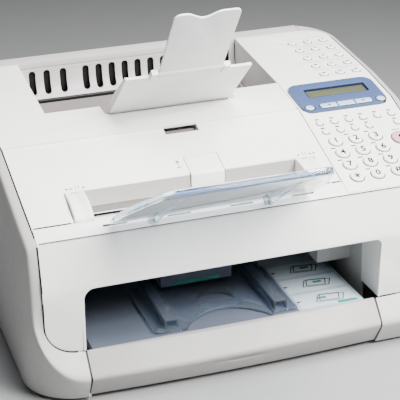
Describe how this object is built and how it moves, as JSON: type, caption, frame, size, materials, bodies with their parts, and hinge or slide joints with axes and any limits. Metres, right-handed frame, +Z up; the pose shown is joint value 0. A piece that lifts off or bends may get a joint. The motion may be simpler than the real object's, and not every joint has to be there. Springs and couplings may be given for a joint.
{
  "type": "fax machine",
  "caption": "Desktop laser fax with a sloping document feeder, side keypad with display, open paper bay over a drawer cassette, and folding document and output trays.",
  "frame": {"origin": "on the table surface at the middle foot, half way across the machine", "axes": "+X to the machine's right, +Y to its back, +Z up"},
  "size_m": [0.412, 0.4161, 0.3342],
  "materials": {
    "shell": "fine moulded texture, warm white",
    "frame_plastic": "moulded",
    "bin_plastic": "moulded",
    "bezel_blue": "satin printed",
    "lcd": "reflective display under a clear window",
    "board": "circuit board",
    "steel": "bright",
    "black_plastic": "moulded",
    "rubber": "soft",
    "slate_plastic": "moulded",
    "label": "printed, satin",
    "brass": "machined",
    "drum_green": "photoconductor coating",
    "roller_grey": "low-friction sleeve",
    "rubber_red": "silicone",
    "clear_blue": "translucent",
    "front_grey": "moulded",
    "clear_grey": "translucent",
    "key_cyan": "satin",
    "key_white": "satin",
    "key_green": "satin",
    "key_pink": "satin"
  },
  "bodies": {
    "chassis": {"base_frame": "frame_plastic", "side_cover_left": "shell", "side_cover_right": "shell", "front_cover": "shell", "rear_cover": "shell", "top_cover": "shell", "output_bin": "bin_plastic", "operation_panel": "shell", "lcd_bezel": "bezel_blue", "lcd_window": "lcd", "main_board": "board", "power_supply": "steel", "rear_connectors": "black_plastic", "rubber_feet": "rubber", "cover_screws": "steel", "laser_unit": "steel", "drive_motor": "steel", "toner_cartridge": "slate_plastic", "fuser_frame": "black_plastic", "image_sensor": "black_plastic", "feeder_base": "shell", "feed_block": "slate_plastic", "hinge_pins": "steel"},
    "motor": {"motor_pinion": "brass"},
    "drum": {"photo_drum": "drum_green"},
    "transfer": {"transfer_roller": "rubber"},
    "fixing": {"fixing_roller": "roller_grey"},
    "pressing": {"pressure_roller": "rubber_red"},
    "pickup": {"pickup_roller": "rubber"},
    "document_drive": {"document_roller": "rubber"},
    "feeder_cover": {"adf_cover": "shell"},
    "latch": {"latch_button": "shell"},
    "document_guide_l": {"document_guide_left": "shell"},
    "document_guide_r": {"document_guide_right": "shell"},
    "doc_tray": {"document_tray": "clear_blue"},
    "support": {"support_tray": "shell"},
    "extension": {"tray_extension": "shell"},
    "drawer": {"cassette": "slate_plastic", "cassette_front": "front_grey", "cassette_lid": "slate_plastic", "instruction_label": "label"},
    "paper_guide_l": {"paper_guide_left": "clear_grey"},
    "paper_guide_r": {"paper_guide_right": "clear_grey"},
    "cursor": {"cursor_keys": "key_cyan"},
    "functions": {"function_keys": "key_white"},
    "one_touch": {"one_touch_keys": "key_white"},
    "start": {"start_key": "key_green"},
    "stop": {"stop_key": "key_pink"},
    "key_1_body": {"key_1": "key_white"},
    "key_2_body": {"key_2": "key_white"},
    "key_3_body": {"key_3": "key_white"},
    "key_4_body": {"key_4": "key_white"},
    "key_5_body": {"key_5": "key_white"},
    "key_6_body": {"key_6": "key_white"},
    "key_7_body": {"key_7": "key_white"},
    "key_8_body": {"key_8": "key_white"},
    "key_9_body": {"key_9": "key_white"},
    "key_star_body": {"key_star": "key_white"},
    "key_0_body": {"key_0": "key_white"},
    "key_hash_body": {"key_hash": "key_white"}
  },
  "joints": [
    {"name": "motor_spin", "type": "hinge", "parent": "chassis", "child": "motor", "pos_m": [0, 0.0959, 0.1], "axis": [1, 0, 0], "continuous": true},
    {"name": "drum_spin", "type": "hinge", "parent": "chassis", "child": "drum", "pos_m": [0, 0.07, 0.1], "axis": [1, 0, 0], "continuous": true},
    {"name": "transfer_spin", "type": "hinge", "parent": "chassis", "child": "transfer", "pos_m": [0, 0.07, 0.0807], "axis": [1, 0, 0], "continuous": true},
    {"name": "fixing_spin", "type": "hinge", "parent": "chassis", "child": "fixing", "pos_m": [0, 0.14, 0.11], "axis": [1, 0, 0], "continuous": true},
    {"name": "pressing_spin", "type": "hinge", "parent": "chassis", "child": "pressing", "pos_m": [0, 0.14, 0.0877], "axis": [1, 0, 0], "continuous": true},
    {"name": "pickup_spin", "type": "hinge", "parent": "chassis", "child": "pickup", "pos_m": [0, 0, 0.0625], "axis": [1, 0, 0], "continuous": true},
    {"name": "document_spin", "type": "hinge", "parent": "chassis", "child": "document_drive", "pos_m": [0, -0.032, 0.1615], "axis": [1, 0, 0], "continuous": true},
    {"name": "feeder_cover_hinge", "type": "hinge", "parent": "chassis", "child": "feeder_cover", "pos_m": [0, 0.017, 0.2002], "axis": [-1, 0, 0], "range_deg": [0, 60]},
    {"name": "latch_press", "type": "slide", "parent": "feeder_cover", "child": "latch", "axis": [0, 0.334, -0.9426], "range_m": [0, 0.0016], "stiffness_N_per_m": 600, "springref_m": -0.001},
    {"name": "document_guide_slide", "type": "slide", "parent": "feeder_cover", "child": "document_guide_l", "axis": [1, 0, 0], "range_m": [0, 0.03]},
    {"name": "document_guide_follow", "type": "slide", "parent": "feeder_cover", "child": "document_guide_r", "axis": [1, 0, 0], "range_m": [-0.03, 0]},
    {"name": "document_tray_hinge", "type": "hinge", "parent": "chassis", "child": "doc_tray", "pos_m": [0, -0.0975, 0.1643], "axis": [-1, 0, 0], "range_deg": [0, 50]},
    {"name": "support_tray_hinge", "type": "hinge", "parent": "chassis", "child": "support", "pos_m": [0, 0.062, 0.207], "axis": [-1, 0, 0], "range_deg": [0, 110]},
    {"name": "extension_hinge", "type": "hinge", "parent": "support", "child": "extension", "pos_m": [0, -0.01144, 0.26647], "axis": [-1, 0, 0], "range_deg": [0, 135]},
    {"name": "cassette_slide", "type": "slide", "parent": "chassis", "child": "drawer", "axis": [0, -1, 0], "range_m": [0, 0.2]},
    {"name": "paper_guide_slide", "type": "slide", "parent": "drawer", "child": "paper_guide_l", "axis": [-1, 0, 0], "range_m": [0, 0.056]},
    {"name": "paper_guide_follow", "type": "slide", "parent": "drawer", "child": "paper_guide_r", "axis": [1, 0, 0], "range_m": [0, 0.056]},
    {"name": "cursor_press", "type": "slide", "parent": "chassis", "child": "cursor", "axis": [0, 0.1963, -0.9806], "range_m": [0, 0.0012], "stiffness_N_per_m": 600, "springref_m": -0.0005},
    {"name": "function_press", "type": "slide", "parent": "chassis", "child": "functions", "axis": [0, 0.334, -0.9426], "range_m": [0, 0.0012], "stiffness_N_per_m": 600, "springref_m": -0.0005},
    {"name": "one_touch_press", "type": "slide", "parent": "chassis", "child": "one_touch", "axis": [0, 0.1043, -0.9945], "range_m": [0, 0.0012], "stiffness_N_per_m": 600, "springref_m": -0.0005},
    {"name": "start_press", "type": "slide", "parent": "chassis", "child": "start", "axis": [0, 0.334, -0.9426], "range_m": [0, 0.0012], "stiffness_N_per_m": 600, "springref_m": -0.0005},
    {"name": "stop_press", "type": "slide", "parent": "chassis", "child": "stop", "axis": [0, 0.334, -0.9426], "range_m": [0, 0.0012], "stiffness_N_per_m": 600, "springref_m": -0.0005},
    {"name": "key_1_press", "type": "slide", "parent": "chassis", "child": "key_1_body", "axis": [0, 0.334, -0.9426], "range_m": [0, 0.0012], "stiffness_N_per_m": 600, "springref_m": -0.0005},
    {"name": "key_2_press", "type": "slide", "parent": "chassis", "child": "key_2_body", "axis": [0, 0.334, -0.9426], "range_m": [0, 0.0012], "stiffness_N_per_m": 600, "springref_m": -0.0005},
    {"name": "key_3_press", "type": "slide", "parent": "chassis", "child": "key_3_body", "axis": [0, 0.334, -0.9426], "range_m": [0, 0.0012], "stiffness_N_per_m": 600, "springref_m": -0.0005},
    {"name": "key_4_press", "type": "slide", "parent": "chassis", "child": "key_4_body", "axis": [0, 0.334, -0.9426], "range_m": [0, 0.0012], "stiffness_N_per_m": 600, "springref_m": -0.0005},
    {"name": "key_5_press", "type": "slide", "parent": "chassis", "child": "key_5_body", "axis": [0, 0.334, -0.9426], "range_m": [0, 0.0012], "stiffness_N_per_m": 600, "springref_m": -0.0005},
    {"name": "key_6_press", "type": "slide", "parent": "chassis", "child": "key_6_body", "axis": [0, 0.334, -0.9426], "range_m": [0, 0.0012], "stiffness_N_per_m": 600, "springref_m": -0.0005},
    {"name": "key_7_press", "type": "slide", "parent": "chassis", "child": "key_7_body", "axis": [0, 0.334, -0.9426], "range_m": [0, 0.0012], "stiffness_N_per_m": 600, "springref_m": -0.0005},
    {"name": "key_8_press", "type": "slide", "parent": "chassis", "child": "key_8_body", "axis": [0, 0.334, -0.9426], "range_m": [0, 0.0012], "stiffness_N_per_m": 600, "springref_m": -0.0005},
    {"name": "key_9_press", "type": "slide", "parent": "chassis", "child": "key_9_body", "axis": [0, 0.334, -0.9426], "range_m": [0, 0.0012], "stiffness_N_per_m": 600, "springref_m": -0.0005},
    {"name": "key_star_press", "type": "slide", "parent": "chassis", "child": "key_star_body", "axis": [0, 0.334, -0.9426], "range_m": [0, 0.0012], "stiffness_N_per_m": 600, "springref_m": -0.0005},
    {"name": "key_0_press", "type": "slide", "parent": "chassis", "child": "key_0_body", "axis": [0, 0.334, -0.9426], "range_m": [0, 0.0012], "stiffness_N_per_m": 600, "springref_m": -0.0005},
    {"name": "key_hash_press", "type": "slide", "parent": "chassis", "child": "key_hash_body", "axis": [0, 0.334, -0.9426], "range_m": [0, 0.0012], "stiffness_N_per_m": 600, "springref_m": -0.0005}
  ],
  "couplings": [
    {"joint": "drum_spin", "follows": "motor_spin", "ratio": -0.28},
    {"joint": "transfer_spin", "follows": "motor_spin", "ratio": 0.48},
    {"joint": "fixing_spin", "follows": "motor_spin", "ratio": 0.28},
    {"joint": "pressing_spin", "follows": "motor_spin", "ratio": -0.336},
    {"joint": "pickup_spin", "follows": "motor_spin", "ratio": 0.28},
    {"joint": "document_spin", "follows": "motor_spin", "ratio": 0.48},
    {"joint": "document_guide_follow", "follows": "document_guide_slide", "ratio": -1},
    {"joint": "paper_guide_follow", "follows": "paper_guide_slide", "ratio": 1}
  ]
}
